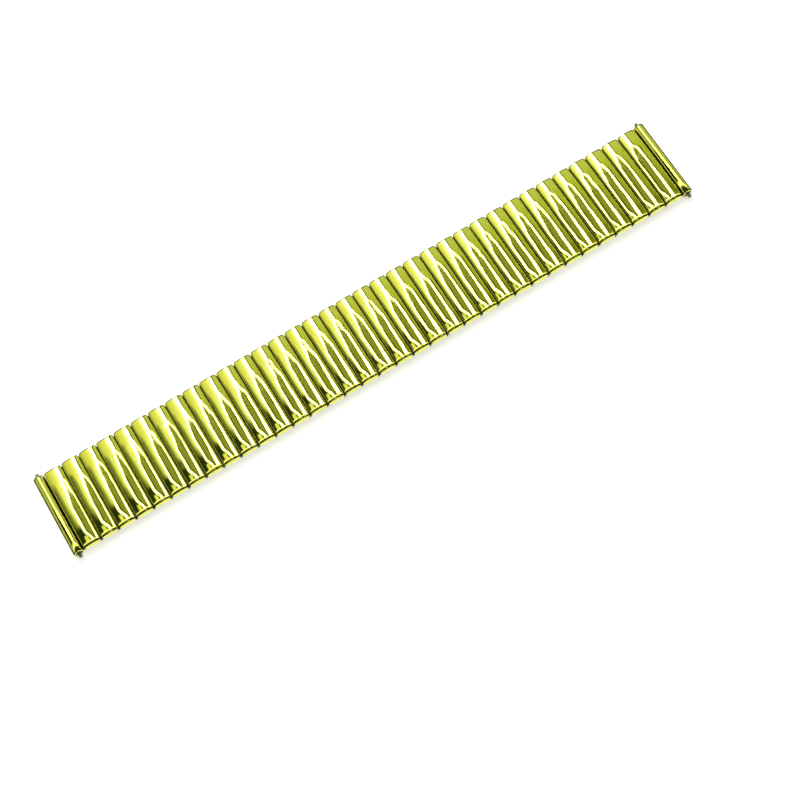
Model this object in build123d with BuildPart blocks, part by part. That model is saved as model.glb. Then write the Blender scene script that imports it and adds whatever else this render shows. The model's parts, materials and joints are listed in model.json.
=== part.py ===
from build123d import *
import os

os.makedirs("parts", exist_ok=True)

# An expansion watch band, lying flat and closed. X runs along the band, Y across it and +Z out of its polished
# face. The origin is under the middle of the band, in the plane that it lies on. Lengths are in millimetres.

# The band
band_width = 18.0
link_count = 35
link_pitch = 3.85
link_gap = 0.10
link_stretch = 1.40
flex_count = 15

# Sleeves, the flat steel tubes of both rows
sleeve_wall = 0.15
sleeve_height = 1.00
sleeve_corner = 0.20
lower_gap = 0.45
row_gap = 0.18

# Top shells
shell_wall = 0.18
shell_dome = 0.14
shell_crown = 0.12
shell_edge_radius = 0.35
shell_end_radius = 0.20
shell_overrun = 1.00

# Clips, which tie the upper row to the lower row
leg_width = 0.65
leg_thickness = 0.28
leg_reach = 3.20
leg_clearance = 0.05
web_thickness = 0.28
web_clearance = 0.07
web_end_clearance = 0.12

# Leaf springs
leaf_thickness = 0.10
leaf_width = 2.20
leaf_margin = 0.45
leaf_leg_clearance = 0.90

# End tubes, and the spring bars in them
tube_radius = 1.10
tube_wall = 0.30
bar_clearance = 0.05
barrel_wall = 0.15
barrel_lip = 0.30
pin_shoulder = 0.06
pin_head_length = 1.60
pin_collar_step = 0.13
pin_collar_thickness = 0.20
pin_tip_radius = 0.35
pin_tip_length = 0.90
pin_tip_rounding = 0.15
pin_fit = 0.03
pin_travel = 0.85
pin_stop_clearance = 0.10
coil_wire_radius = 0.11
coil_wire_sides = 12
coil_turns = 14

# Levels of the two rows
lower_middle = sleeve_height / 2
upper_floor = sleeve_height + row_gap
upper_middle = upper_floor + sleeve_height / 2
shell_top = upper_floor + sleeve_height + shell_wall

# Lengths across the band
web_outer = band_width / 2 - shell_wall - web_end_clearance
web_inner = web_outer - web_thickness
sleeve_length = 2 * (web_inner - web_clearance)
leaf_wave_start = web_outer - leg_reach - leaf_leg_clearance

# Widths along the band
shell_width = link_pitch - link_gap
upper_width = shell_width - 2 * shell_wall
lower_width = link_pitch - lower_gap
room_height = sleeve_height - 2 * sleeve_wall

# Places of the clips' legs, from the middle of an upper link or from the gap beside it
upper_leg = upper_width / 2 - sleeve_wall - leg_clearance - leg_width / 2
lower_room = lower_width / 2 - sleeve_wall
turning_leg = -lower_room + leg_clearance + leg_width / 2
sliding_leg = lower_room - leg_clearance - leg_width / 2 - link_stretch

# The end pieces, measured outwards from the gap plane beside the last link
end_room = leg_width + 2 * leg_clearance + link_stretch / 2
end_near = link_gap / 2
end_width = end_room + 2 * sleeve_wall
end_leg = end_near - sleeve_wall - leg_clearance - leg_width / 2
tube_place = end_near + tube_radius
tube_height = shell_top - tube_radius
bar_radius = tube_radius - tube_wall - bar_clearance

# The spring bar, measured outwards along the band's width
pin_head_radius = bar_radius - barrel_wall - pin_fit
pin_neck_radius = pin_head_radius - pin_shoulder
pin_collar_radius = pin_neck_radius + pin_collar_step
collar_end = band_width / 2 - bar_clearance
barrel_length = 2 * (collar_end - pin_collar_thickness - pin_travel - pin_stop_clearance)
lip_start = barrel_length / 2 - barrel_lip
head_start = lip_start - pin_head_length
tip_end = band_width / 2 + pin_tip_length
coil_radius = bar_radius - barrel_wall - pin_fit - coil_wire_radius

# Which gaps flex, counted from the left end and spread evenly over the band
gap_count = link_count - 1
flexing_gaps = [round((n + 0.5) * gap_count / flex_count + 0.5) for n in range(flex_count)]


def link_place(number):
    """The middle of upper link number 1, 2 and so on, from the left end."""
    return (number - (link_count + 1) / 2) * link_pitch


def sleeve(left, right, floor):
    """A flat tube that lies across the band, open at both of its ends."""
    with BuildPart() as tube:
        with BuildSketch(Plane.XZ):
            with Locations(((left + right) / 2, floor + sleeve_height / 2)):
                RectangleRounded(right - left, sleeve_height, sleeve_corner)
                Rectangle(right - left - 2 * sleeve_wall, room_height, mode=Mode.SUBTRACT)
        extrude(amount=sleeve_length / 2, both=True)
    return tube.part


def leaf_spring(middle, width, floor):
    """A waved strip in a sleeve: its ends lie over the clips' legs, and its waves stand on the sleeve's floor."""
    low = floor + sleeve_wall + leaf_thickness
    high = floor + sleeve_height - sleeve_wall
    reach = sleeve_length / 2 - leaf_margin
    places = [-reach, -leaf_wave_start, -leaf_wave_start / 2, 0, leaf_wave_start / 2, leaf_wave_start, reach]
    levels = [high, high, low, high, low, high, high]
    crest = list(zip(places[1:-1], levels[1:-1]))
    under = [(place, level - leaf_thickness) for place, level in reversed(crest)]
    flat_tangents = [(1, 0)] * len(crest)
    back_tangents = [(-1, 0)] * len(crest)
    with BuildPart() as strip:
        with BuildSketch(Plane.YZ.offset(middle - width / 2)):
            with BuildLine():
                Line((-reach, high), crest[0])
                Spline(*crest, tangents=flat_tangents)
                Line(crest[-1], (reach, high))
                Line((reach, high), (reach, high - leaf_thickness))
                Line((reach, high - leaf_thickness), under[0])
                Spline(*under, tangents=back_tangents)
                Line(under[-1], (-reach, high - leaf_thickness))
                Line((-reach, high - leaf_thickness), (-reach, high))
            make_face()
        extrude(amount=width)
    return strip.part


def clip(upper_place, lower_place):
    """A flat U-shaped clip at the band's far edge: a leg in each row and a web that joins them past the sleeves."""
    leg_tip = web_outer - leg_reach
    top = upper_middle + leg_thickness / 2
    bottom = lower_middle - leg_thickness / 2
    half = leg_width / 2
    with BuildPart() as bent:
        with BuildSketch(Plane.XZ.offset(-web_inner)):
            with BuildLine():
                Polyline(
                    (upper_place - half, top),
                    (upper_place + half, top),
                    (lower_place + half, bottom),
                    (lower_place - half, bottom),
                    close=True,
                )
            make_face()
        extrude(amount=-web_thickness)
        with BuildSketch(Plane.XZ.offset(-leg_tip)):
            with Locations((upper_place, upper_middle), (lower_place, lower_middle)):
                Rectangle(leg_width, leg_thickness)
        extrude(amount=-leg_reach)
    return bent.part


def clip_pair(upper_place, lower_place):
    """The same clip at both edges of the band."""
    far = clip(upper_place, lower_place)
    return [far, far.mirror(Plane.XZ)]


# The top shell: a cap with a domed, crowned face, closed on its long sides and at both edges of the band
crown_reach = band_width / 2 + shell_overrun
shell_height = shell_top + shell_dome - upper_floor
with BuildPart() as top_shell:
    with BuildLine():
        crown = ThreePointArc(
            (0, -crown_reach, shell_top + shell_dome - shell_crown),
            (0, 0, shell_top + shell_dome),
            (0, crown_reach, shell_top + shell_dome - shell_crown),
        )
    with BuildSketch(Plane(origin=crown @ 0, x_dir=(-1, 0, 0), z_dir=crown % 0)):
        with BuildLine():
            Polyline(
                (-shell_width / 2, -shell_dome),
                (-shell_width / 2, -shell_height - shell_overrun),
                (shell_width / 2, -shell_height - shell_overrun),
                (shell_width / 2, -shell_dome),
            )
            ThreePointArc((shell_width / 2, -shell_dome), (0, 0), (-shell_width / 2, -shell_dome))
        make_face()
    sweep()
    with BuildSketch(Plane.XY.offset(upper_floor)):
        Rectangle(shell_width, band_width)
    extrude(amount=shell_height + shell_overrun, mode=Mode.INTERSECT)
    face_edges = top_shell.faces().filter_by(GeomType.TORUS).edges()
    fillet(face_edges.group_by(Axis.X)[0] + face_edges.group_by(Axis.X)[-1], shell_edge_radius)
    end_edges = top_shell.faces().filter_by(Plane.XZ).edges()
    fillet(
        end_edges.filter_by_position(Axis.Z, shell_top - shell_edge_radius, shell_top + shell_dome),
        shell_end_radius,
    )
    with BuildSketch(Plane.XY.offset(upper_floor)):
        Rectangle(upper_width, band_width - 2 * shell_wall)
    extrude(amount=sleeve_height, mode=Mode.SUBTRACT)

upper_sleeve = sleeve(-upper_width / 2, upper_width / 2, upper_floor)
lower_sleeve = sleeve(-lower_width / 2, lower_width / 2, 0)
upper_leaf = leaf_spring(0, leaf_width, upper_floor)
lower_leaf = leaf_spring(0, leaf_width, 0)

# Clips from the middle of a link. Each lower leg stands in the sleeve under the gap beside the link: the right
# one turns in place when that gap flexes, and the left one slides to the far wall when that gap opens.
gap_side = link_pitch / 2
right_clips = clip_pair(upper_leg, gap_side + turning_leg)
left_clips = clip_pair(-upper_leg, -gap_side + sliding_leg)
first_clips = clip_pair(-upper_leg, -gap_side - end_leg)
last_clips = clip_pair(upper_leg, gap_side + end_leg)


def placed(solids, place):
    """Copies of the solids, moved along the band."""
    return [Pos(place, 0, 0) * solid for solid in solids]


# The upper links, each with the lower sleeve to its right where that gap only stretches
for number in range(1, link_count + 1):
    solids = [top_shell.part, upper_sleeve, upper_leaf]
    solids += first_clips if number == 1 else left_clips
    solids += last_clips if number == link_count else right_clips
    if number < link_count and number not in flexing_gaps:
        solids += placed([lower_sleeve, lower_leaf], gap_side)
    name = f"link_{number:02d}"
    link = Compound(label=name, children=placed(solids, link_place(number)))
    export_step(link, f"parts/{name}.step")

# The lower sleeves under the gaps that flex
for gap in flexing_gaps:
    name = f"lower_sleeve_{gap:02d}"
    lower = Compound(label=name, children=placed([lower_sleeve, lower_leaf], link_place(gap) + gap_side))
    export_step(lower, f"parts/{name}.step")

# The right end piece from the gap plane beside the last link: one rolled strip makes the tube for the spring
# bar, a tongue under it and the short lower sleeve that holds the last link's clips
sleeve_middle = end_near - end_width / 2
with BuildPart() as end_strip:
    with BuildSketch(Plane.XZ):
        with Locations((tube_place, tube_height)):
            Circle(tube_radius)
    extrude(amount=band_width / 2, both=True)
    with BuildSketch(Plane.XZ):
        with Locations((sleeve_middle, lower_middle)):
            RectangleRounded(end_width, sleeve_height, sleeve_corner)
        with Locations(((end_near - sleeve_wall / 2 + tube_place) / 2, tube_height - tube_radius + tube_wall / 2)):
            Rectangle(tube_place - end_near + sleeve_wall / 2, tube_wall)
    extrude(amount=sleeve_length / 2, both=True)
    with BuildSketch(Plane.XZ):
        with Locations((tube_place, tube_height)):
            Circle(tube_radius - tube_wall)
        with Locations((sleeve_middle, lower_middle)):
            Rectangle(end_room, room_height)
    extrude(amount=band_width / 2, both=True, mode=Mode.SUBTRACT)

end_leaf = leaf_spring(sleeve_middle, end_room - 2 * leg_clearance, 0)

# The spring bar's barrel: a tube whose ends are turned in over the pins' heads
with BuildPart() as barrel:
    with BuildSketch(Plane.XZ):
        Circle(bar_radius)
        Circle(bar_radius - barrel_wall, mode=Mode.SUBTRACT)
    extrude(amount=barrel_length / 2, both=True)
    for side in (-1, 1):
        with BuildSketch(Plane.XZ.offset(side * lip_start)):
            Circle(bar_radius - barrel_wall)
            Circle(pin_neck_radius + pin_fit, mode=Mode.SUBTRACT)
        extrude(amount=side * barrel_lip)

# The pin at the far edge, turned round its own axis: head, neck, collar and rounded tip
with BuildPart() as pin:
    with BuildSketch(Plane.YZ):
        with BuildLine():
            Polyline(
                (head_start, 0),
                (head_start, pin_head_radius),
                (lip_start, pin_head_radius),
                (lip_start, pin_neck_radius),
                (collar_end - pin_collar_thickness, pin_neck_radius),
                (collar_end - pin_collar_thickness, pin_collar_radius),
                (collar_end, pin_collar_radius),
                (collar_end, pin_tip_radius),
                (tip_end, pin_tip_radius),
                (tip_end, 0),
                close=True,
            )
        make_face()
    revolve(axis=Axis.Y)
    fillet(pin.edges().filter_by(GeomType.CIRCLE).group_by(Axis.Y)[-1], pin_tip_rounding)

# The coil between the pins' heads, one unbroken wire with narrow flats in place of a round section
coil_length = 2 * (head_start - coil_wire_radius)
with BuildPart() as coil:
    with BuildLine():
        wire_path = Helix(
            pitch=coil_length / coil_turns,
            height=coil_length,
            radius=coil_radius,
            center=(0, -coil_length / 2, 0),
            direction=(0, 1, 0),
        )
    with BuildSketch(Plane(origin=wire_path @ 0, z_dir=wire_path % 0)):
        RegularPolygon(coil_wire_radius, coil_wire_sides)
    sweep()

# Both ends: the left one is the right one turned half round
for end, turn in (("right", 0), ("left", 180)):
    gap_plane = link_place(link_count) + gap_side
    seat = Rot(0, 0, turn) * Pos(gap_plane, 0, 0)
    bar_seat = Rot(0, 0, turn) * Pos(gap_plane + tube_place, 0, tube_height)
    name = f"end_piece_{end}"
    piece = Compound(label=name, children=[seat * end_strip.part, seat * end_leaf])
    export_step(piece, f"parts/{name}.step")
    parts = {
        f"spring_bar_barrel_{end}": bar_seat * barrel.part,
        f"spring_bar_coil_{end}": bar_seat * coil.part,
        f"spring_bar_pin_{end}_far": bar_seat * Rot(0, 0, turn) * pin.part,
        f"spring_bar_pin_{end}_near": bar_seat * Rot(0, 0, turn + 180) * pin.part,
    }
    for name, solid in parts.items():
        solid.label = name
        export_step(solid, f"parts/{name}.step")
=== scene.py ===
"""An expansion watch band: polished links over a staggered lower row, with sprung clips and end tubes.

The band lies flat and closed. X runs along it, Y across it, and +Z out of its polished face. Sizes are
written in millimetres and turned into metres as each piece is modelled.
"""

import json
import logging
import math
from collections.abc import Callable, Iterator
from contextlib import contextmanager
from dataclasses import dataclass
from enum import Enum

import bmesh
import bpy
from mathutils import Matrix, Vector

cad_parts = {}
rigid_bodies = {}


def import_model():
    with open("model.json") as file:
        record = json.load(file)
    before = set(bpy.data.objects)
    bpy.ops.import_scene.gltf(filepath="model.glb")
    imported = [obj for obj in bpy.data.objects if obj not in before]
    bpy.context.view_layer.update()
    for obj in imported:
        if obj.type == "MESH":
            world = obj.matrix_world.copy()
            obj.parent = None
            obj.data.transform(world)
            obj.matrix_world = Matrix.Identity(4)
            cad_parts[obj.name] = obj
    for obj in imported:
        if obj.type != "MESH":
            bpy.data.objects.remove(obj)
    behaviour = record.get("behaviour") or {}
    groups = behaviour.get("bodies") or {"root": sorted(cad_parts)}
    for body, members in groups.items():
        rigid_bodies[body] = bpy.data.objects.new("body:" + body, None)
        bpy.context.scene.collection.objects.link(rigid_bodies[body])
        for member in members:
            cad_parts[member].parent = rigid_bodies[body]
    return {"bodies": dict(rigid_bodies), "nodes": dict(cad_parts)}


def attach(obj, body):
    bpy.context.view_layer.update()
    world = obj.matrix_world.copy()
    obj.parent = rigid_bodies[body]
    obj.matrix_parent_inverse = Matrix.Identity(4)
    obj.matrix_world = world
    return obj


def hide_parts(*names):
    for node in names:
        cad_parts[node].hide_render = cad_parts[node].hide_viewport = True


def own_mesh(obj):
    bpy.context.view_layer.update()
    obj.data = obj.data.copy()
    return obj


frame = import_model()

log = logging.getLogger("watch_band")
MM = 0.001
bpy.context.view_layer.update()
BODIES = list(frame["bodies"])

# Places this near to each other are the same place, in millimetres.
NEAR_ENOUGH = 0.01
# Shares of a direction that make it run along an axis, or across it.
ALONG = 0.9
ACROSS = 0.1

Piece = bpy.types.Object
Material = bpy.types.Material
Node = bpy.types.Node
Socket = bpy.types.NodeSocket
Pair = tuple[float, float]
Triple = tuple[float, float, float]
Stops = tuple[tuple[float, Triple], ...]


class Pick(Enum):
    """What a selection in edit mode holds."""

    POINTS = "VERT"
    EDGES = "EDGE"
    FACES = "FACE"


class End(Enum):
    """The two ends of the band."""

    LEFT = "left"
    RIGHT = "right"


class Edge(Enum):
    """The two long edges of the band."""

    NEAR = "near"
    FAR = "far"


def put_down() -> None:
    """Deselects everything in the scene."""
    for item in bpy.context.selected_objects:
        item.select_set(False)


def pick_up(piece: Piece) -> None:
    """Selects one piece alone, and makes it the active one."""
    put_down()
    piece.select_set(True)
    bpy.context.view_layer.objects.active = piece


@contextmanager
def at_bench(piece: Piece, pick: Pick = Pick.FACES) -> Iterator[None]:
    """Holds one piece in edit mode until the block ends, with nothing on it selected at first.

    Args:
        piece: The piece to work on.
        pick: What is going to be selected.
    """
    pick_up(piece)
    bpy.ops.object.mode_set(mode="EDIT")
    bpy.ops.mesh.select_mode(type=pick.value)
    bpy.ops.mesh.select_all(action="DESELECT")
    yield
    bpy.ops.object.mode_set(mode="OBJECT")
    piece.select_set(False)


def choose(piece: Piece, pick: Pick, test: Callable[[Vector, Vector], bool]) -> None:
    """Selects what passes a test of its middle, in millimetres, and of its normal, and nothing else.

    Args:
        piece: The piece in edit mode.
        pick: What to select.
        test: Gets the middle and the normal, or for an edge its unit direction.
    """
    shape = bmesh.from_edit_mesh(piece.data)
    for group in (shape.verts, shape.edges, shape.faces):
        for item in group:
            item.select = False
    if pick is Pick.POINTS:
        for point in shape.verts:
            point.select = test(point.co / MM, point.normal)
    elif pick is Pick.EDGES:
        for edge in shape.edges:
            start, stop = (point.co for point in edge.verts)
            edge.select = test((start + stop) / 2 / MM, (stop - start).normalized())
    else:
        for face in shape.faces:
            face.select = test(face.calc_center_median() / MM, face.normal)
    shape.select_flush_mode()
    bmesh.update_edit_mesh(piece.data)


def choose_all() -> None:
    """Selects the whole piece in edit mode."""
    bpy.ops.mesh.select_all(action="SELECT")


def shift(x: float = 0.0, y: float = 0.0, z: float = 0.0) -> None:
    """Moves what is selected, by millimetres."""
    bpy.ops.transform.translate(value=(x * MM, y * MM, z * MM))


def turn(axis: str, degrees: float) -> None:
    """Turns what is selected about an axis through the origin."""
    bpy.ops.transform.rotate(value=math.radians(degrees), orient_axis=axis, center_override=(0, 0, 0))


def stretch_about(scale: Triple, centre: Triple = (0.0, 0.0, 0.0)) -> None:
    """Scales what is selected about a point in millimetres."""
    bpy.ops.transform.resize(value=scale, center_override=tuple(value * MM for value in centre))


def pull(x: float = 0.0, y: float = 0.0, z: float = 0.0) -> None:
    """Extrudes the selected faces or edges, by millimetres."""
    bpy.ops.mesh.extrude_region_move(TRANSFORM_OT_translate={"value": (x * MM, y * MM, z * MM)})


def round_off(radius: float, segments: int) -> None:
    """Rounds the selected edges, to a radius in millimetres."""
    bpy.ops.mesh.bevel(offset=radius * MM, segments=segments, affect="EDGES", clamp_overlap=False)


def block(name: str, low: Triple, high: Triple) -> Piece:
    """A box between two corners, as a start for a piece.

    Args:
        name: The piece's name.
        low: The lowest corner, in millimetres.
        high: The highest corner, in millimetres.

    Returns:
        The new object, at the origin, with its place in its mesh.
    """
    put_down()
    bpy.ops.mesh.primitive_cube_add(size=1.0, location=(0, 0, 0))
    piece = bpy.context.active_object
    piece.name = name
    piece.data.name = name
    with at_bench(piece):
        choose_all()
        stretch_about(tuple((top - bottom) * MM for bottom, top in zip(low, high)))
        shift(*((bottom + top) / 2 for bottom, top in zip(low, high)))
    return piece


def harden(piece: Piece, kind: str, **settings: float | int | str | bool) -> None:
    """Adds a modifier to a piece and applies it.

    Args:
        piece: The piece.
        kind: The modifier's type.
        settings: Its values.
    """
    pick_up(piece)
    modifier = piece.modifiers.new(kind.lower(), kind)
    for key, value in settings.items():
        setattr(modifier, key, value)
    bpy.ops.object.modifier_apply(modifier=modifier.name)
    piece.select_set(False)


def thicken(piece: Piece, wall: float) -> None:
    """Gives a sheet its wall, inwards from its outer face."""
    harden(piece, "SOLIDIFY", thickness=wall * MM, offset=-1.0)


def smooth(piece: Piece, degrees: float = 40.0) -> None:
    """Shades a piece smooth across edges flatter than an angle."""
    pick_up(piece)
    bpy.ops.object.shade_smooth_by_angle(angle=math.radians(degrees))
    piece.select_set(False)


def ease(piece: Piece, width: float, degrees: float = 40.0, segments: int = 2) -> None:
    """Rounds a piece's sharp edges and shades it smooth.

    Args:
        piece: The piece.
        width: How wide each rounded edge is, in millimetres.
        degrees: The angle from which an edge is sharp.
        segments: How many facets a rounded edge has.
    """
    sharp = math.radians(degrees)
    harden(piece, "BEVEL", width=width * MM, segments=segments, limit_method="ANGLE", angle_limit=sharp)
    smooth(piece)


def join(name: str, pieces: list[Piece]) -> Piece:
    """Joins pieces into one object.

    Args:
        name: The joined piece's name.
        pieces: What is joined, into the first one.

    Returns:
        The joined piece.
    """
    put_down()
    for piece in pieces:
        piece.select_set(True)
    bpy.context.view_layer.objects.active = pieces[0]
    bpy.ops.object.join()
    pieces[0].name = name
    pieces[0].data.name = name
    pieces[0].select_set(False)
    return pieces[0]


def copied(model: Piece, name: str, place: float = 0.0, turned: bool = False) -> Piece:
    """A copy with its own mesh, moved along the band.

    Args:
        model: The piece that was modelled once.
        name: The copy's name.
        place: How far along the band it goes, in millimetres.
        turned: Whether it is turned half round first, about the band's middle.

    Returns:
        The copy, with its place in its mesh.
    """
    piece = model.copy()
    piece.data = model.data.copy()
    piece.name = name
    piece.data.name = name
    if turned:
        piece.data.transform(Matrix.Rotation(math.pi, 4, "Z"))
    piece.data.transform(Matrix.Translation((place * MM, 0, 0)))
    bpy.context.collection.objects.link(piece)
    return piece


def put_away(models: list[Piece]) -> None:
    """Removes the models once their copies are made."""
    for model in models:
        mesh = model.data
        bpy.data.objects.remove(model)
        bpy.data.meshes.remove(mesh)


def dress(piece: Piece, material: Material) -> None:
    """Gives a piece one material all over."""
    piece.data.materials.clear()
    piece.data.materials.append(material)


class Desk:
    """Lays out the nodes of one material, world or shader group."""

    def __init__(self, tree: bpy.types.NodeTree) -> None:
        """Starts on an empty node tree."""
        self.tree = tree
        self.tree.nodes.clear()

    def fill(self, socket: Socket, value: object) -> None:
        """Links an output to an input, or gives the input a number, a vector or a colour."""
        if isinstance(value, Socket):
            self.tree.links.new(value, socket)
        else:
            socket.default_value = (*value, 1.0) if socket.type == "RGBA" else value

    def feed(self, node: Node, **values: object) -> None:
        """Fills a node's inputs, each by its name with underscores for spaces."""
        for key, value in values.items():
            self.fill(node.inputs[key.replace("_", " ")], value)

    def node(self, kind: str, **settings: object) -> Node:
        """Adds a node.

        Args:
            kind: The node's type.
            settings: Its properties, and what its inputs are fed.

        Returns:
            The new node.
        """
        made = self.tree.nodes.new(kind)
        for key, value in settings.items():
            if hasattr(made, key):
                setattr(made, key, value)
            else:
                self.feed(made, **{key: value})
        return made

    def group(self, tree: bpy.types.NodeTree, **values: float) -> bpy.types.NodeOutputs:
        """The outputs of a shader group, whose inputs are fed as a node's are."""
        return self.node("ShaderNodeGroup", node_tree=tree, **values).outputs

    def place(self) -> Socket:
        """The place on a piece, in metres."""
        return self.node("ShaderNodeTexCoord").outputs["Object"]

    def axes(self, vector: Socket) -> tuple[Socket, Socket, Socket]:
        """The three parts of a place or a direction."""
        return tuple(self.node("ShaderNodeSeparateXYZ", Vector=vector).outputs)

    def scaled(self, place: Socket, scale: Triple) -> Socket:
        """A place with its axes scaled, so that a pattern is drawn out along those below 1."""
        return self.node("ShaderNodeMapping", Vector=place, Scale=scale).outputs[0]

    def noise(self, place: Socket, scale: object, detail: float, roughness: float) -> Socket:
        """A soft random pattern from 0 to 1, with finer layers in it."""
        made = self.node("ShaderNodeTexNoise", Vector=place, Scale=scale, Detail=detail, Roughness=roughness)
        return made.outputs["Fac"]

    def maths(self, operation: str, *values: object) -> Socket:
        """A math node's result.

        Args:
            operation: The node's operation.
            values: Its inputs, each a number or an output.

        Returns:
            The output.
        """
        made = self.node("ShaderNodeMath", operation=operation)
        for socket, value in zip(made.inputs, values):
            self.fill(socket, value)
        return made.outputs[0]

    def clamped(self, value: Socket) -> Socket:
        """The value, kept from 0 to 1."""
        return self.maths("MINIMUM", self.maths("MAXIMUM", value, 0.0), 1.0)

    def rise(self, value: Socket, start: float, width: float) -> Socket:
        """A mask that rises from 0 to 1 over a width from a start, or falls if the width is negative."""
        return self.clamped(self.maths("DIVIDE", self.maths("SUBTRACT", value, start), width))

    def swing(self, value: Socket, start: float, width: float, by: float, base: object) -> Socket:
        """A base, to which an amount is added where a mask rises."""
        return self.maths("MULTIPLY_ADD", self.rise(value, start, width), by, base)

    def strip(self, value: Socket, centre: float, half: object, edge: float) -> Socket:
        """A mask that is 1 within a half width of a centre, with soft edges."""
        away = self.maths("ABSOLUTE", self.maths("SUBTRACT", value, centre))
        return self.clamped(self.maths("DIVIDE", self.maths("SUBTRACT", half, away), edge))

    def ramp(self, factor: Socket, stops: Stops) -> Socket:
        """A colour ramp's colour.

        Args:
            factor: What it reads.
            stops: Places from 0 to 1 and their colours.

        Returns:
            The colour output.
        """
        made = self.node("ShaderNodeValToRGB", Fac=factor)
        elements = made.color_ramp.elements
        while len(elements) < len(stops):
            elements.new(0.5)
        for element, (place, colour) in zip(elements, stops):
            element.position = place
            element.color = (*colour, 1.0)
        return made.outputs["Color"]

    def blend(self, factor: object, first: object, second: object) -> Socket:
        """A mix of two colours.

        Args:
            factor: A number or an output.
            first: The colour or output at 0.
            second: The colour or output at 1.

        Returns:
            The colour output.
        """
        made = self.node("ShaderNodeMix", data_type="RGBA")
        for number, value in ((0, factor), (6, first), (7, second)):
            self.fill(made.inputs[number], value)
        return made.outputs[2]


class SharedEffects:
    """Shader groups that several finishes use, each built once. Their lengths are in metres."""

    # The dark line of dirt and painted shade along the rims, and its soft edge.
    rim_line: float = 0.00013
    rim_softness: float = 0.00004

    def __init__(self) -> None:
        """Builds the groups."""
        self.polish = self._polish_marks()
        self.grain = self._drawn_grain()
        self.seams = self._seam_dirt_and_shade()

    @staticmethod
    def _start(name: str, outputs: list[str], **inputs: float) -> tuple[Desk, Node, Node]:
        """An empty group with its sockets.

        Args:
            name: The group's name.
            outputs: Names of its number outputs.
            inputs: Names of its number inputs, with underscores for spaces, and their values.

        Returns:
            The desk, the group's input node and its output node.
        """
        tree = bpy.data.node_groups.new(name, "ShaderNodeTree")
        for key, value in inputs.items():
            label = key.replace("_", " ")
            socket = tree.interface.new_socket(name=label, in_out="INPUT", socket_type="NodeSocketFloat")
            socket.default_value = value
        for label in outputs:
            tree.interface.new_socket(name=label, in_out="OUTPUT", socket_type="NodeSocketFloat")
        desk = Desk(tree)
        return desk, desk.node("NodeGroupInput"), desk.node("NodeGroupOutput")

    def _polish_marks(self) -> bpy.types.NodeTree:
        """Long soft waves left by stamping and polishing, and fine lines along each link.

        Returns:
            The group, with the outputs Waves, Lines and Cloud.
        """
        desk, given, made = self._start(
            "polish_marks", ["Waves", "Lines", "Cloud"], Wave_Scale=300.0, Line_Scale=1500.0
        )
        place = desk.place()
        waves = desk.noise(desk.scaled(place, (1.0, 0.55, 1.0)), given.outputs["Wave Scale"], 1.5, 0.4)
        lines = desk.noise(desk.scaled(place, (6.0, 0.25, 2.0)), given.outputs["Line Scale"], 3.0, 0.6)
        desk.feed(made, Waves=waves, Lines=lines, Cloud=desk.noise(place, 55.0, 2.0, 0.5))
        return desk.tree

    def _drawn_grain(self) -> bpy.types.NodeTree:
        """The fine lines of drawn or rolled strip, along one direction.

        Returns:
            The group, with the outputs Grain and Patches.
        """
        desk, given, made = self._start(
            "drawn_grain", ["Grain", "Patches"], Along_X=0.04, Along_Y=0.04, Fineness=9000.0
        )
        place = desk.place()
        x, y, z = desk.axes(place)
        drawn = desk.node(
            "ShaderNodeCombineXYZ",
            X=desk.maths("MULTIPLY", x, given.outputs["Along X"]),
            Y=desk.maths("MULTIPLY", y, given.outputs["Along Y"]),
            Z=z,
        )
        grain = desk.noise(drawn.outputs[0], given.outputs["Fineness"], 4.0, 0.65)
        desk.feed(made, Grain=grain, Patches=desk.noise(place, 400.0, 2.0, 0.5))
        return desk.tree

    def _seam_dirt_and_shade(self) -> bpy.types.NodeTree:
        """A mask of dirt and painted shade that is 1 at the seams between links, and along the rims at both
        edges of the band.

        Returns:
            The group, with the outputs Seam, and Mask for seams and rims.
        """
        desk, given, made = self._start(
            "seams_dirt_and_shade", ["Seam", "Mask"], Pitch=0.00385, Reach=0.00010, Rim=0.00880
        )
        place = desk.place()
        x, y, _ = desk.axes(place)
        half = desk.maths("MULTIPLY", given.outputs["Pitch"], 0.5)
        to_seam = desk.maths("SUBTRACT", half, desk.maths("PINGPONG", x, half))
        near = desk.maths("SUBTRACT", 2.0, desk.maths("DIVIDE", to_seam, given.outputs["Reach"]))
        uneven = desk.maths("ADD", desk.noise(place, 700.0, 3.0, 0.6), 0.5)
        seam = desk.clamped(desk.maths("MULTIPLY", near, uneven))
        past_rim = desk.maths("SUBTRACT", desk.maths("ABSOLUTE", y), given.outputs["Rim"])
        from_rim = desk.maths("ABSOLUTE", past_rim)
        rim = desk.maths("MULTIPLY", desk.rise(from_rim, self.rim_line, -self.rim_softness), uneven)
        desk.feed(made, Seam=seam, Mask=desk.clamped(desk.maths("MAXIMUM", seam, rim)))
        return desk.tree


def bare_metal(name: str) -> tuple[Material, Desk, Node]:
    """Starts a finish on bare metal.

    Args:
        name: The material's name.

    Returns:
        The material, the desk of its nodes, and its metal shader.
    """
    made = bpy.data.materials.new(name)
    made.use_nodes = True
    desk = Desk(made.node_tree)
    metal = desk.node("ShaderNodeBsdfPrincipled", Metallic=1.0)
    desk.node("ShaderNodeOutputMaterial", Surface=metal.outputs[0])
    return made, desk, metal


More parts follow.
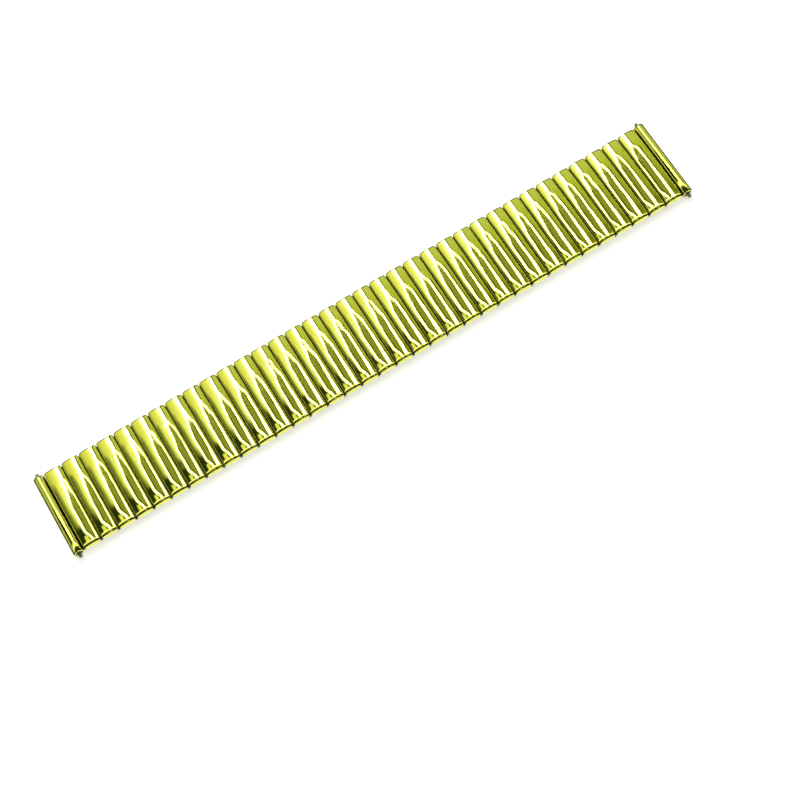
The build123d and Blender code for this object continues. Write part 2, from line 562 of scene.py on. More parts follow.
@dataclass(frozen=True)
class GoldTone:
    """The polished, plated finish of the top shells and end tubes. Its lengths are in metres."""

    name: str = "polished_gold_tone"
    tone: Triple = (0.92, 0.92, 0.19)
    # Near-black dirt and painted shade at the seams between links and along the rims of the end walls.
    cloudy_tone: Triple = (0.86, 0.89, 0.16)
    dirt_and_shade_colour: Triple = (0.02, 0.012, 0.004)
    dirt_and_shade_share: float = 0.985
    roughness: float = 0.05
    line_wear: float = 0.05
    seam_wear: float = 0.15
    wave_scale: float = 300.0
    wave_height: float = 0.000050
    line_scale: float = 1500.0
    line_height: float = 0.0000004

    def material(self, effects: SharedEffects) -> Material:
        """Builds the finish.

        Args:
            effects: The shared shader groups.

        Returns:
            The material.
        """
        made, desk, metal = bare_metal(self.name)
        polish = desk.group(effects.polish, Wave_Scale=self.wave_scale, Line_Scale=self.line_scale)
        dirt_and_shade_mask = desk.group(effects.seams)["Mask"]
        clouded = desk.blend(polish["Cloud"], self.tone, self.cloudy_tone)
        # The seams and rims are darkened with dirt and painted shade.
        dirt_and_shade_amount = desk.maths("MULTIPLY", dirt_and_shade_mask, self.dirt_and_shade_share)
        shiny = self.roughness - self.line_wear / 2
        worn = desk.maths("MULTIPLY_ADD", polish["Lines"], self.line_wear, shiny)
        wavy = desk.node("ShaderNodeBump", Strength=1.0, Distance=self.wave_height, Height=polish["Waves"])
        lined = desk.node("ShaderNodeBump", Strength=0.6, Distance=self.line_height, Height=polish["Lines"])
        desk.feed(lined, Normal=wavy.outputs[0])
        desk.feed(
            metal,
            Base_Color=desk.blend(dirt_and_shade_amount, clouded, self.dirt_and_shade_colour),
            Roughness=desk.maths("MULTIPLY_ADD", dirt_and_shade_mask, self.seam_wear, worn),
            Normal=lined.outputs[0],
        )
        return made


@dataclass(frozen=True)
class StripSteel:
    """Plain steel of sleeves, clips, springs and bars, with a grain along one direction.

    Its lengths are in metres. A painted shade darkens what lies high in the gaps between links.
    """

    name: str
    light: Triple
    dark: Triple
    roughness: float
    along: Pair
    fineness: float
    grain_height: float
    grain_wear: float = 0.20
    # Painted shade in the gaps between links, over what lies high there.
    gap_shade: Triple = (0.02, 0.02, 0.01)
    gap_shade_start: float = 0.00060
    gap_shade_rise: float = 0.00015
    gap_reach: float = 0.00035

    def material(self, effects: SharedEffects) -> Material:
        """Builds the finish.

        Args:
            effects: The shared shader groups.

        Returns:
            The material.
        """
        made, desk, metal = bare_metal(self.name)
        along_x, along_y = self.along
        grain = desk.group(effects.grain, Along_X=along_x, Along_Y=along_y, Fineness=self.fineness)
        seams = desk.group(effects.seams, Reach=self.gap_reach)
        high = desk.rise(desk.axes(desk.place())[2], self.gap_shade_start, self.gap_shade_rise)
        # Painted shade: dark where the seam mask meets what lies high in the gaps.
        gap_shaded = desk.maths("MULTIPLY", seams["Seam"], high)
        clean = desk.blend(grain["Patches"], self.light, self.dark)
        shiny = self.roughness - self.grain_wear / 2
        bump = desk.node("ShaderNodeBump", Strength=0.7, Distance=self.grain_height, Height=grain["Grain"])
        desk.feed(
            metal,
            Base_Color=desk.blend(gap_shaded, clean, self.gap_shade),
            Roughness=desk.maths("MULTIPLY_ADD", grain["Grain"], self.grain_wear, shiny),
            Normal=bump.outputs[0],
        )
        return made


SLEEVE_STEEL = StripSteel(
    "drawn_sleeve_steel", (0.66, 0.64, 0.60), (0.54, 0.53, 0.50), 0.28, (1.0, 0.03), 9000.0, 0.0000015
)
# The clips' steel is dark as painted shade: they show in the notches between links, where there is deep
# shade.
CLIP_STEEL = StripSteel(
    "stamped_clip_steel", (0.30, 0.29, 0.27), (0.20, 0.19, 0.18), 0.38, (0.2, 0.2), 7000.0, 0.0000020
)
LEAF_STEEL = StripSteel(
    "blued_leaf_steel", (0.36, 0.37, 0.42), (0.26, 0.26, 0.30), 0.30, (1.0, 0.05), 8000.0, 0.0000010
)
BAR_STEEL = StripSteel(
    "turned_bar_steel", (0.24, 0.24, 0.23), (0.15, 0.15, 0.14), 0.26, (0.1, 1.0), 12000.0, 0.0000010
)
WIRE_STEEL = StripSteel(
    "drawn_wire_steel", (0.45, 0.45, 0.47), (0.32, 0.32, 0.34), 0.30, (0.2, 0.2), 6000.0, 0.0000010
)


@dataclass
class TopShell:
    """The domed, polished cap of one link, in millimetres and degrees."""

    floor: float
    width: float = 3.75
    length: float = 18.0
    crest: float = 2.50
    dome: float = 0.24
    crown: float = 0.12
    end_droop: float = 0.16
    droop_start: float = 5.6
    edge_radius: float = 0.26
    edge_angle: float = 50.0
    skirt: float = 0.3
    corner_radius: float = 0.45
    wall: float = 0.10
    rim: float = 0.10
    recess: float = 0.06
    recess_reach: float = 0.05
    columns: int = 8
    rows: int = 30

    def dome_fall(self, x: float) -> float:
        """How far the face falls below its crest at a place across the link's width."""
        return self.dome * (2 * x / self.width) ** 2

    def crown_fall(self, y: float) -> float:
        """How far the face falls below its crest at a place along the link's length."""
        reach = self.length / 2
        beyond = max(0.0, (abs(y) - self.droop_start) / (reach - self.droop_start))
        return self.crown * (y / reach) ** 2 + self.end_droop * beyond**2

    def model(self) -> Piece:
        """Models one shell over the middle of the band.

        Returns:
            The shell.
        """
        put_down()
        bpy.ops.mesh.primitive_grid_add(x_subdivisions=self.columns, y_subdivisions=self.rows, size=1.0)
        piece = bpy.context.active_object
        with at_bench(piece, Pick.POINTS):
            choose_all()
            stretch_about((self.width * MM, self.length * MM, 1.0))
            shift(z=self.crest)
            for axis, size, count, fall in (
                (0, self.width, self.columns, self.dome_fall),
                (1, self.length, self.rows, self.crown_fall),
            ):
                step = size / count
                for number in range(1, count // 2 + 1):
                    place = number * step
                    choose(piece, Pick.POINTS, lambda spot, _: abs(abs(spot[axis]) - place) < step / 4)
                    shift(z=-fall(place))
        self._walls(piece)
        harden(piece, "SUBSURF", levels=1, render_levels=1)
        thicken(piece, self.wall)
        smooth(piece)
        return piece

    def _walls(self, piece: Piece) -> None:
        """Draws the sides down from the face's rim and rounds the edges.

        Args:
            piece: The face, an open sheet.
        """
        side, end = self.width / 2 - NEAR_ENOUGH, self.length / 2 - NEAR_ENOUGH

        def on_rim(spot: Vector, line: Vector) -> bool:
            """Whether an edge lies on the face's rim."""
            on_side = abs(spot.x) > side and abs(line.x) < ACROSS
            return on_side or (abs(spot.y) > end and abs(line.y) < ACROSS)

        def on_corner(spot: Vector, line: Vector) -> bool:
            """Whether an edge runs down a corner."""
            return abs(line.z) > ALONG and abs(spot.x) > side and abs(spot.y) > end

        with at_bench(piece, Pick.EDGES):
            choose(piece, Pick.EDGES, on_rim)
            pull(z=self.floor - self.crest)
            stretch_about((1.0, 1.0, 0.0), (0.0, 0.0, self.floor))
            choose(piece, Pick.EDGES, on_corner)
            round_off(self.corner_radius, 3)
            shape = bmesh.from_edit_mesh(piece.data)
            for edge in shape.edges:
                sharp = edge.calc_face_angle(0.0) > math.radians(self.edge_angle)
                edge.select = sharp and edge.verts[0].co.z > (self.floor + self.skirt) * MM
            shape.select_flush_mode()
            bmesh.update_edit_mesh(piece.data)
            round_off(self.edge_radius, 3)
        with at_bench(piece):
            deep = self.length / 2 - self.recess_reach
            choose(piece, Pick.FACES, lambda spot, facing: abs(facing.y) > ALONG and abs(spot.y) > deep)
            bpy.ops.mesh.inset(thickness=self.rim * MM, depth=-self.recess * MM)


@dataclass
class SleeveShape:
    """A flat tube across the band, open at both ends, which may be pressed down, in millimetres."""

    width: float
    floor: float
    height: float = 1.0
    length: float = 16.70
    wall: float = 0.15
    corner: float = 0.20
    end_press: float = 0.0
    eased: float = 0.03
    eased_from: float = 60.0

    def model(self) -> Piece:
        """Models one sleeve over the middle of the band.

        Returns:
            The sleeve.
        """
        half, end, top = self.width / 2, self.length / 2, self.floor + self.height
        piece = block("sleeve_model", (-half, -end, self.floor), (half, end, top))
        open_end = end - NEAR_ENOUGH
        middle = self.floor + self.height / 2
        with at_bench(piece):
            choose(piece, Pick.FACES, lambda spot, _: abs(spot.y) > open_end)
            bpy.ops.mesh.delete(type="FACE")
        with at_bench(piece, Pick.EDGES):
            choose(piece, Pick.EDGES, lambda _, line: abs(line.y) > ALONG)
            round_off(self.corner, 4)
            choose(piece, Pick.EDGES, lambda _, line: abs(line.y) > ALONG)
            bpy.ops.mesh.subdivide(number_cuts=3)
        with at_bench(piece, Pick.POINTS):
            choose(piece, Pick.POINTS, lambda spot, _: abs(spot.y) > open_end and spot.z > middle)
            shift(z=-self.end_press)
        thicken(piece, self.wall)
        ease(piece, self.eased, self.eased_from)
        return piece


@dataclass
class LeafShape:
    """A waved strip spring that lies in a sleeve over the clips' legs, in millimetres."""

    width: float
    floor: float
    middle: float = 0.0
    reach: float = 7.90
    wave_start: float = 4.60
    thickness: float = 0.10
    cuts: int = 8
    end_press: float = 0.0

    def level(self, y: float) -> float:
        """The height of the strip's top at a place across the band."""
        low = self.floor + SleeveShape.wall + self.thickness
        high = self.floor + SleeveShape.height - SleeveShape.wall
        if abs(y) >= self.wave_start:
            quarter = SleeveShape.length / 4
            return high - self.end_press * (abs(y) / quarter - 1)
        return low + (high - low) * (1 + math.cos(math.tau * y / self.wave_start)) / 2

    def model(self) -> Piece:
        """Models one leaf spring.

        Returns:
            The spring.
        """
        put_down()
        rows = 4 * self.cuts
        bpy.ops.mesh.primitive_grid_add(x_subdivisions=1, y_subdivisions=rows + 2, size=1.0)
        piece = bpy.context.active_object
        with at_bench(piece, Pick.POINTS):
            choose_all()
            step = 2 * self.wave_start / rows
            end = self.wave_start + step
            stretch_about((self.width * MM, 2 * end * MM, 1.0))
            shift(x=self.middle)
            for side in (1, -1):
                choose(piece, Pick.POINTS, lambda spot, _: side * spot.y > end - NEAR_ENOUGH)
                shift(y=side * (self.reach - end))
            waved = [number * step - self.wave_start for number in range(rows + 1)]
            for place in (-self.reach, *waved, self.reach):
                choose(piece, Pick.POINTS, lambda spot, _: abs(spot.y - place) < NEAR_ENOUGH)
                shift(z=self.level(place))
        thicken(piece, self.thickness)
        smooth(piece)
        return piece


@dataclass
class ClipShape:
    """A flat U-shaped clip at the band's far edge: one leg in each row, in millimetres."""

    upper_place: float
    lower_place: float
    upper_level: float = 1.68
    lower_level: float = 0.50
    leg_width: float = 0.65
    thickness: float = 0.28
    inner: float = 8.42
    outer: float = 8.70
    tip: float = 5.50
    eased: float = 0.06

    def model(self) -> Piece:
        """Models one clip.

        Returns:
            The clip.
        """
        half, thick = self.leg_width / 2, self.thickness / 2
        under, over = self.upper_level - thick, self.lower_level + thick
        piece = block(
            "clip_model",
            (self.upper_place - half, self.tip, under),
            (self.upper_place + half, self.inner, self.upper_level + thick),
        )

        def starts_leg(spot: Vector, facing: Vector) -> bool:
            """Whether a face is the one that the lower leg is pulled from."""
            return facing.y < -ALONG and spot.z < over and spot.y > self.inner - NEAR_ENOUGH

        with at_bench(piece):
            choose(piece, Pick.FACES, lambda _, facing: facing.y > ALONG)
            pull(y=self.outer - self.inner)
            choose(piece, Pick.FACES, lambda spot, facing: facing.z < -ALONG and spot.y > self.inner)
            pull(x=self.lower_place - self.upper_place, z=over - under)
            pull(z=-self.thickness)
            choose(piece, Pick.FACES, starts_leg)
            pull(y=self.tip - self.inner)
        ease(piece, self.eased)
        return piece

    def pair(self, name: str) -> Piece:
        """The clip at both edges of the band, as one piece.

        Args:
            name: The pair's name.

        Returns:
            The pair.
        """
        far = self.model()
        near = copied(far, "near_clip_model")
        with at_bench(near):
            choose_all()
            stretch_about((1.0, -1.0, 1.0))
            bpy.ops.mesh.normals_make_consistent(inside=False)
        return join(name, [far, near])


@dataclass
class BandSizes:
    """How the links stand along the band, in millimetres."""

    count: int = 35
    pitch: float = 3.85

    def place(self, number: int) -> float:
        """The middle of link number 1, 2 and so on, from the left end."""
        return (number - (self.count + 1) / 2) * self.pitch

    def under_gap(self, number: int) -> float:
        """The middle of the gap to the right of a link."""
        return self.place(number) + self.pitch / 2


@dataclass
class Links:
    """The links: top shells, both rows of sleeves, leaf springs and clips, in millimetres."""

    sizes: BandSizes
    gold: Material
    sleeve: Material
    leaf: Material
    clip: Material
    upper_width: float = 3.39
    upper_floor: float = 1.18
    upper_corner: float = 0.35
    upper_press: float = 0.12
    lower_width: float = 3.40
    leaf_width: float = 2.2
    leg_room: float = 0.05
    stretch: float = 1.40

    def _clips(self) -> dict[str, Piece]:
        """Models the clips beside a link, and those that reach into the end pieces.

        Returns:
            Each kind's pair of clips, placed as for a link in the middle of the band.
        """
        to_gap = self.sizes.pitch / 2
        beside_wall = SleeveShape.wall + self.leg_room + ClipShape.leg_width / 2
        upper = self.upper_width / 2 - beside_wall
        lower = self.lower_width / 2 - beside_wall
        in_end = to_gap + EndPiece.near - beside_wall
        legs = {
            "right": (upper, to_gap - lower),
            "left": (-upper, lower - self.stretch - to_gap),
            "last": (upper, in_end),
            "first": (-upper, -in_end),
        }
        return {kind: ClipShape(*places).pair(f"{kind}_clips_model") for kind, places in legs.items()}

    @staticmethod
    def _place(
        model: Piece, name: str, place: float, body: str, material: Material, slot: str = "plain_steel"
    ) -> Piece:
        """Copies a model into the band, and lets it ride on a body.

        Args:
            model: The modelled piece.
            name: The copy's name.
            place: Its place along the band, in millimetres.
            body: The body that it moves with.
            material: Its finish.
            slot: The record's material slot; not used.

        Returns:
            The placed piece.
        """
        piece = copied(model, name, place)
        dress(piece, material)
        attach(piece, body)
        return piece

    def build(self) -> None:
        """Models each kind of piece once and places its copies."""
        sizes = self.sizes
        shell = TopShell(self.upper_floor).model()
        upper_sleeve = SleeveShape(
            self.upper_width, self.upper_floor, corner=self.upper_corner, end_press=self.upper_press
        ).model()
        lower_sleeve = SleeveShape(self.lower_width, 0.0).model()
        upper_leaf = LeafShape(self.leaf_width, self.upper_floor, end_press=self.upper_press).model()
        lower_leaf = LeafShape(self.leaf_width, 0.0).model()
        clips = self._clips()
        for number in range(1, sizes.count + 1):
            body = f"link_{number:02d}"
            place = sizes.place(number)
            cap = self._place(shell, f"top_shell_{number:02d}", place, body, self.gold, "gold_tone_link")
            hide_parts(body)
            self._place(upper_sleeve, f"upper_sleeve_{number:02d}", place, body, self.sleeve)
            self._place(upper_leaf, f"upper_leaf_spring_{number:02d}", place, body, self.leaf)
            right = clips["last" if number == sizes.count else "right"]
            left = clips["first" if number == 1 else "left"]
            self._place(right, f"right_clips_{number:02d}", place, body, self.clip)
            self._place(left, f"left_clips_{number:02d}", place, body, self.clip)
            log.info("link %d of %d placed", number, sizes.count)
        for number in range(1, sizes.count):
            own = f"lower_sleeve_{number:02d}"
            flexing = own in BODIES
            body = own if flexing else f"link_{number:02d}"
            place = sizes.under_gap(number)
            tube = self._place(lower_sleeve, f"lower_tube_{number:02d}", place, body, self.sleeve)
            if flexing:
                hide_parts(own)
            self._place(lower_leaf, f"lower_leaf_spring_{number:02d}", place, body, self.leaf)
            log.info("lower sleeve %d placed on %s", number, body)
        put_away([shell, upper_sleeve, lower_sleeve, upper_leaf, lower_leaf, *clips.values()])


@dataclass
class EndPiece:
    """A rolled strip: the tube for the spring bar, a tongue and a short lower sleeve, in millimetres.

    The gap's plane is half a pitch beyond the middle of the last link, and near is the room from there to
    the tube.
    """

    gap_plane: float
    near: float = 0.05
    radius: float = 1.10
    tube_height: float = 1.26
    tube_wall: float = 0.30
    tube_facets: int = 64
    tube_eased: float = 0.08
    tube_eased_from: float = 50.0
    tube_eased_facets: int = 3
    length: float = 18.0
    sleeve_width: float = 1.75
    tongue_eased: float = 0.04
    leaf_room: float = 0.1

    def model(self) -> Piece:
        """Models the right end piece.

        Returns:
            The end piece.
        """
        tube = self._tube()
        sleeve = SleeveShape(self.sleeve_width, 0.0).model()
        start = self.gap_plane + self.near
        with at_bench(sleeve):
            choose_all()
            shift(x=start - self.sleeve_width / 2)
        floor = self.tube_height - self.radius
        end = SleeveShape.length / 2
        tongue = block(
            "tongue_model",
            (start - SleeveShape.wall / 2, -end, floor),
            (start + self.radius, end, floor + self.tube_wall),
        )
        ease(tongue, self.tongue_eased)
        return join("end_piece_model", [tube, sleeve, tongue])

    def _tube(self) -> Piece:
        """The tube, closed all round above the tongue.

        Returns:
            The tube.
        """
        put_down()
        bpy.ops.mesh.primitive_cylinder_add(
            vertices=self.tube_facets,
            radius=self.radius * MM,
            depth=self.length * MM,
            end_fill_type="NOTHING",
        )
        tube = bpy.context.active_object
        with at_bench(tube):
            choose_all()
            turn("X", 90)
            shift(x=self.gap_plane + self.near + self.radius, z=self.tube_height)
        thicken(tube, self.tube_wall)
        ease(tube, self.tube_eased, self.tube_eased_from, self.tube_eased_facets)
        return tube

    def build(self, gold: Material, leaf: Material) -> None:
        """Places both end pieces and their leaf springs.

        Args:
            gold: The material of the rolled strip.
            leaf: The material of the leaf springs.
        """
        strip = self.model()
        leaf_width = self.sleeve_width - 2 * SleeveShape.wall - self.leaf_room
        spring = LeafShape(leaf_width, 0.0, self.gap_plane + self.near - self.sleeve_width / 2).model()
        for end in End:
            body = f"end_piece_{end.value}"
            turned = end is End.LEFT
            tube = copied(strip, f"end_tube_{end.value}", turned=turned)
            dress(tube, gold)
            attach(tube, body)
            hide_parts(body)
            tube.vertex_groups.new(name="foot").add(range(len(tube.data.vertices)), 1.0, "REPLACE")
            inner = copied(spring, f"end_leaf_spring_{end.value}", turned=turned)
            dress(inner, leaf)
            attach(inner, body)
            log.info("end piece %s placed", end.value)
        put_away([strip, spring])


@dataclass
class SpringBars:
    """The spring bars: packed barrels and pins, and coils wound in halves.

    Sizes are in millimetres. The two bars lie equally far from the band's middle.
    """

    place: float
    height: float
    coil_radius: float = 0.46
    wire_radius: float = 0.11
    half_length: float = 5.77
    half_turns: int = 7
    wire_facets: int = 12
    turn_steps: int = 24
    head_start: float = 5.90
    pin_travel: float = 0.85

    def _half_coil(self, end: End, edge: Edge) -> Piece:
        """Winds one half of a coil, from the bar's middle out to one pin's head.

        Args:
            end: The end of the band.
            edge: The edge of the band that the pin comes out of.

        Returns:
            The half coil, round the bar's axis.
        """
        put_down()
        bpy.ops.mesh.primitive_circle_add(vertices=self.wire_facets, radius=self.wire_radius * MM)
        coil = bpy.context.active_object
        coil.name = f"coil_{end.value}_{edge.value}"
        coil.data.name = coil.name
        with at_bench(coil):
            choose_all()
            shift(x=self.coil_radius)
        harden(
            coil,
            "SCREW",
            axis="Y",
            screw_offset=self.half_length / self.half_turns * MM,
            iterations=self.half_turns,
            steps=self.turn_steps,
            render_steps=self.turn_steps,
        )
        with at_bench(coil):
            choose_all()
            bpy.ops.mesh.fill_holes(sides=0)
            bpy.ops.mesh.normals_make_consistent(inside=False)
            if edge is Edge.NEAR:
                turn("X", 180)
            if end is End.LEFT:
                turn("Y", 180)
            shift(x=self._across(end), z=self.height)
        smooth(coil)
        return coil

    def _across(self, end: End) -> float:
        """Where a bar's axis lies along the band."""
        return self.place if end is End.RIGHT else -self.place

    def build(self, bar: Material, wire: Material) -> None:
        """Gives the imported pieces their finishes, and winds the coils.

        Args:
            bar: The material of the barrels and pins.
            wire: The material of the coils.
        """
        for name, node in frame["nodes"].items():
            if not name.startswith("spring_bar") or "coil" in name:
                continue
            if not node.material_slots:
                node.data.materials.append(bar)
            for slot in node.material_slots:
                slot.material = bar
            log.info("%s finished", name)
        for end in End:
            for edge in Edge:
                coil = self._half_coil(end, edge)
                dress(coil, wire)
                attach(coil, f"spring_bar_{end.value}")
                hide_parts(f"spring_bar_coil_{end.value}")
                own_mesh(coil)
            log.info("%s coil wound", end.value)


@dataclass(frozen=True)
class Viewpoint:
    """Where the photograph was taken from, in millimetres and degrees."""

    spot: Triple = (-36.2, -162.5, 353.8)
    yaw: float = -13.38
    tip: float = 23.20
    roll: float = -18.34
    lens: float = 90.0

    def place(self) -> None:
        """Creates the camera and makes it the scene's own."""
        data = bpy.data.cameras.new("band_camera")
        data.lens = self.lens
        data.sensor_width = 36.0
        data.clip_start = 0.01
        camera = bpy.data.objects.new("band_camera", data)
        pose = Matrix.Translation(Vector(self.spot) * MM)
        for degrees, axis in ((self.yaw, "Z"), (self.tip, "X"), (self.roll, "Z")):
            pose = pose @ Matrix.Rotation(math.radians(degrees), 4, axis)
        camera.matrix_world = pose
        bpy.context.collection.objects.link(camera)
        bpy.context.scene.camera = camera


@dataclass(frozen=True)
class Floor:
    """A plain pale floor that keeps the band's shadow, in metres.

    A painted reflection: polish that mirrors the floor past the band's ends sees it dark, while the floor
    itself stays pale.
    """

    size: float = 4.0
    band_reach: float = 0.0703
    softness: float = 0.0003
    pale: Triple = (0.88, 0.89, 0.88)
    # The floor's colour in the painted reflection past the band's ends.
    dark: Triple = (0.03, 0.05, 0.02)
    glow: float = 0.38

    def _finish(self) -> Material:
        """The floor's material: paper that glows a little where the camera or the polish sees it.

        Returns:
            The material.
        """
        material = bpy.data.materials.new("pale_floor")
        material.use_nodes = True
        desk = Desk(material.node_tree)
        rays = desk.node("ShaderNodeLightPath").outputs
        from_middle = desk.maths("ABSOLUTE", desk.axes(desk.place())[0])
        # Painted reflection: glossy rays see the floor dark past the band's ends.
        past_ends = desk.rise(from_middle, self.band_reach, self.softness)
        dim = desk.maths("MULTIPLY", past_ends, rays["Is Glossy Ray"])
        mirrored = desk.maths("SUBTRACT", rays["Is Glossy Ray"], dim)
        seen = desk.maths("MAXIMUM", rays["Is Camera Ray"], mirrored)
        strength = desk.maths("MULTIPLY", seen, self.glow)
        paper = desk.node("ShaderNodeBsdfDiffuse", Color=desk.blend(dim, self.pale, self.dark))
        lit = desk.node("ShaderNodeEmission", Color=(1.0, 1.0, 1.0), Strength=strength)
        both = desk.node("ShaderNodeAddShader")
        desk.fill(both.inputs[0], paper.outputs[0])
        desk.fill(both.inputs[1], lit.outputs[0])
        desk.node("ShaderNodeOutputMaterial", Surface=both.outputs[0])
        return material

    def lay(self) -> None:
        """Lays the floor, so that it sinks with either end of a curled band."""
        put_down()
        bpy.ops.mesh.primitive_plane_add(size=self.size, location=(0, 0, 0))
        floor = bpy.context.active_object
        floor.name = "floor"
        floor.data.materials.append(self._finish())
        for end in End:
            tube = bpy.data.objects[f"end_tube_{end.value}"]
            level = floor.constraints.new("FLOOR")
            level.target = tube
            level.subtarget = "foot"
            level.floor_location = "FLOOR_NEGATIVE_Z"
            level.offset = -sum(vertex.co.z for vertex in tube.data.vertices) / len(tube.data.vertices)


@dataclass(frozen=True)
class KeyLamp:
    """One soft lamp behind the band, in metres and watts."""

    spot: Triple = (0.15, 0.75, 0.80)
    size: float = 0.45
    power: float = 5.0

    def hang(self) -> None:
        """Hangs the lamp, turned to the band."""
        data = bpy.data.lights.new("key_lamp", "AREA")
        data.shape = "RECTANGLE"
        data.size = self.size
        data.size_y = self.size
        data.energy = self.power
        lamp = bpy.data.objects.new("key_lamp", data)
        facing = Vector(self.spot).to_track_quat("Z", "Y").to_matrix().to_4x4()
        lamp.matrix_world = Matrix.Translation(self.spot) @ facing
        lamp.visible_camera = False
        lamp.visible_glossy = False
        bpy.context.collection.objects.link(lamp)


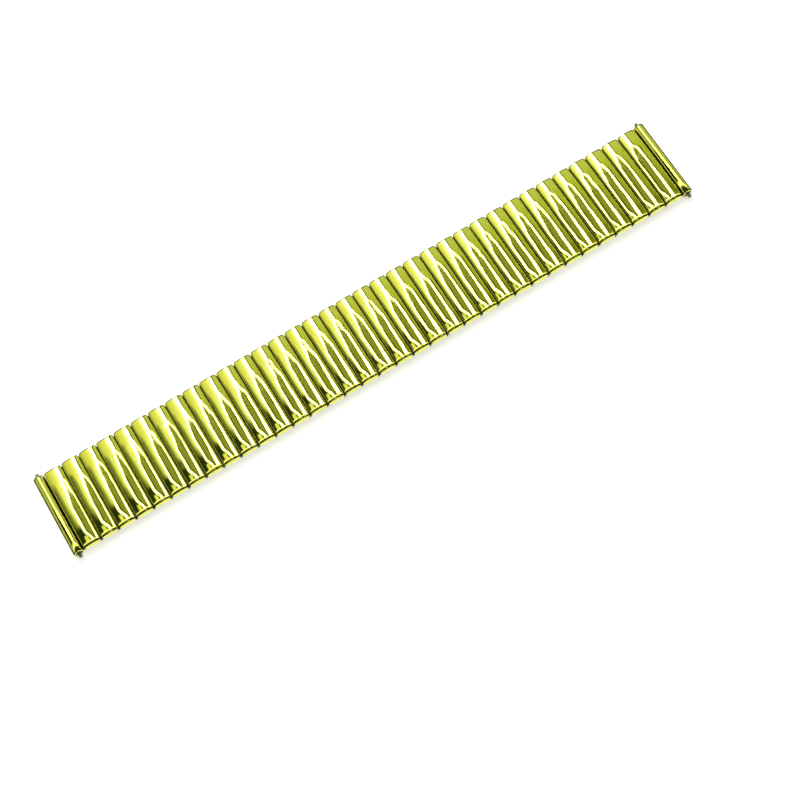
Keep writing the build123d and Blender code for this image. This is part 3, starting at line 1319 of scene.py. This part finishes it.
@dataclass(frozen=True)
class Surroundings:
    """White round the band, and what its polish mirrors: walls, and a ceiling with two long windows.

    What is mirrored goes by its direction, whose parts are east along the band, north across it without
    a sign, and up. Stops are places and colours. A rise is where a mask starts and how wide it grows, a
    strip is its middle, half its width and its soft edge, and a swing is a rise, an amount and a base.
    """

    white: Triple = (1.0, 1.0, 1.0)
    glass: Triple = (7.0, 7.0, 7.0)
    bright: Triple = (1.60, 1.60, 1.50)
    cream: Triple = (0.85, 0.85, 0.40)
    warm: Triple = (0.95, 0.95, 0.70)
    olive: Triple = (0.26, 0.28, 0.10)
    dark_green: Triple = (0.03, 0.06, 0.01)
    black: Triple = (0.02, 0.03, 0.01)
    wall_stops: Stops = (
        (0.00, (0.95, 0.95, 0.85)),
        (0.06, (0.95, 0.95, 0.85)),
        (0.12, (0.42, 0.45, 0.30)),
        (0.24, (0.50, 0.53, 0.38)),
        (0.28, (0.10, 0.13, 0.05)),
        (0.37, (0.10, 0.13, 0.05)),
        (0.41, (1.20, 1.20, 1.10)),
        (0.47, (1.20, 1.20, 1.10)),
        (0.49, black),
        (0.56, black),
    )
    end_wall: Triple = (0.34, 0.36, 0.24)
    end_wall_rise: Pair = (0.68, 0.03)
    ceiling_rise: Pair = (0.57, 0.01)
    west_stops: Stops = (
        (0.00, (0.06, 0.09, 0.02)),
        (0.11, (0.14, 0.17, 0.05)),
        (0.20, (0.34, 0.36, 0.15)),
        (0.29, warm),
    )
    far_west_stops: Stops = (
        (0.00, (0.30, 0.34, 0.12)),
        (0.20, (0.72, 0.72, 0.32)),
        (0.42, warm),
        (0.56, bright),
    )
    far_east_stops: Stops = (
        (0.34, (0.20, 0.21, 0.03)),
        (0.43, (0.46, 0.50, 0.12)),
        (0.50, (0.54, 0.60, 0.26)),
        (0.62, (0.58, 0.62, 0.46)),
    )
    far_rise: Pair = (0.45, 0.02)
    left_bend_swing: tuple[float, ...] = (0.34, -0.10, 0.16, 0.10)
    left_line_swing: tuple[float, ...] = (0.465, -0.05, -0.20)
    left_width_swing: tuple[float, ...] = (0.42, 0.05, 0.035, 0.045)
    left_frame_rise: Pair = (0.055, 0.01)
    left_field_rise: Pair = (0.115, 0.02)
    right_line_swing: tuple[float, ...] = (0.465, -0.035, 0.20, 0.12)
    right_width_swing: tuple[float, ...] = (0.42, -0.06, 0.030, 0.042)
    right_frame_rise: Pair = (-0.10, 0.01)
    right_field_rise: Pair = (0.10, 0.02)
    window_softness: float = 0.015
    shade_strip: Triple = (0.225, 0.175, 0.02)
    shade_rise: Pair = (-0.06, -0.03)
    patch_north_strip: Triple = (0.175, 0.125, 0.02)
    patch_east_strip: Triple = (-0.17, 0.10, 0.03)
    bright_edge_strip: Triple = (0.135, 0.085, 0.01)
    black_edge_strip: Triple = (0.12, 0.07, 0.01)
    no_window_strip: Triple = (0.125, 0.095, 0.02)

    def _ceiling(self, desk: Desk, east: Socket, north: Socket) -> Socket:
        """The ceiling's colour, with both windows.

        The shade and the black edge leave out what lies straight above, or the links would look black
        from there.

        Args:
            desk: The world's desk.
            east: The direction's part along the band.
            north: Its part across the band.

        Returns:
            The colour.
        """
        bend = desk.swing(north, *self.left_bend_swing)
        left = desk.maths("SUBTRACT", east, desk.swing(north, *self.left_line_swing, bend))
        right = desk.maths("SUBTRACT", east, desk.swing(north, *self.right_line_swing))
        left_half, right_half = (
            desk.swing(north, *swing) for swing in (self.left_width_swing, self.right_width_swing)
        )
        left_glass = desk.strip(left, 0.0, left_half, self.window_softness)
        right_glass = desk.strip(right, 0.0, right_half, self.window_softness)
        open_share = desk.maths("SUBTRACT", 1.0, desk.strip(north, *self.no_window_strip))
        windows = desk.maths("MULTIPLY", desk.maths("MAXIMUM", left_glass, right_glass), open_share)
        from_west = desk.maths("ADD", east, 0.5)
        west, far_west = (desk.ramp(from_west, stops) for stops in (self.west_stops, self.far_west_stops))
        far_east = desk.ramp(north, self.far_east_stops)
        shade = desk.rise(left, *self.shade_rise)
        patch = desk.strip(east, *self.patch_east_strip)
        colour = desk.blend(desk.rise(north, *self.far_rise), west, far_west)
        for mask, layer in (
            (desk.maths("MULTIPLY", desk.strip(north, *self.shade_strip), shade), self.black),
            (desk.maths("MULTIPLY", desk.strip(north, *self.patch_north_strip), patch), self.cream),
            (desk.rise(left, *self.left_frame_rise), self.dark_green),
            (desk.rise(left, *self.left_field_rise), self.olive),
            (desk.rise(right, *self.right_frame_rise), self.dark_green),
            (desk.rise(right, *self.right_field_rise), far_east),
            (desk.strip(north, *self.bright_edge_strip), self.bright),
            (desk.strip(north, *self.black_edge_strip), self.black),
            (windows, self.glass),
        ):
            colour = desk.blend(mask, colour, layer)
        return colour

    def build(self) -> None:
        """Builds the world and makes it the scene's own."""
        world = bpy.data.worlds.new("surroundings")
        world.use_nodes = True
        bpy.context.scene.world = world
        desk = Desk(world.node_tree)
        east, north, up = desk.axes(desk.node("ShaderNodeTexCoord").outputs["Generated"])
        north = desk.maths("ABSOLUTE", north)
        beyond_links = desk.rise(north, *self.end_wall_rise)
        walls = desk.blend(beyond_links, desk.ramp(up, self.wall_stops), self.end_wall)
        overhead = desk.rise(up, *self.ceiling_rise)
        mirrored = desk.blend(overhead, walls, self._ceiling(desk, east, north))
        to_camera = desk.node("ShaderNodeLightPath").outputs["Is Camera Ray"]
        shown = desk.blend(to_camera, mirrored, self.white)
        background = desk.node("ShaderNodeBackground", Color=shown, Strength=1.0)
        desk.node("ShaderNodeOutputWorld", Surface=background.outputs[0])


def main() -> None:
    """Builds the band and its studio."""
    logging.basicConfig(level=logging.INFO, format="%(message)s")
    effects = SharedEffects()
    gold = GoldTone().material(effects)
    sleeve, clip, leaf, bar, wire = (
        steel.material(effects) for steel in (SLEEVE_STEEL, CLIP_STEEL, LEAF_STEEL, BAR_STEEL, WIRE_STEEL)
    )
    sizes = BandSizes()
    Links(sizes, gold, sleeve, leaf, clip).build()
    ends = EndPiece(gap_plane=sizes.under_gap(sizes.count))
    ends.build(gold, leaf)
    SpringBars(place=ends.gap_plane + ends.near + ends.radius, height=ends.tube_height).build(bar, wire)
    Viewpoint().place()
    Floor().lay()
    KeyLamp().hang()
    Surroundings().build()
    bpy.context.scene.view_settings.view_transform = "Standard"
    log.info("studio set up")
    log.info("boxes written")


if __name__ == "__main__":
    main()
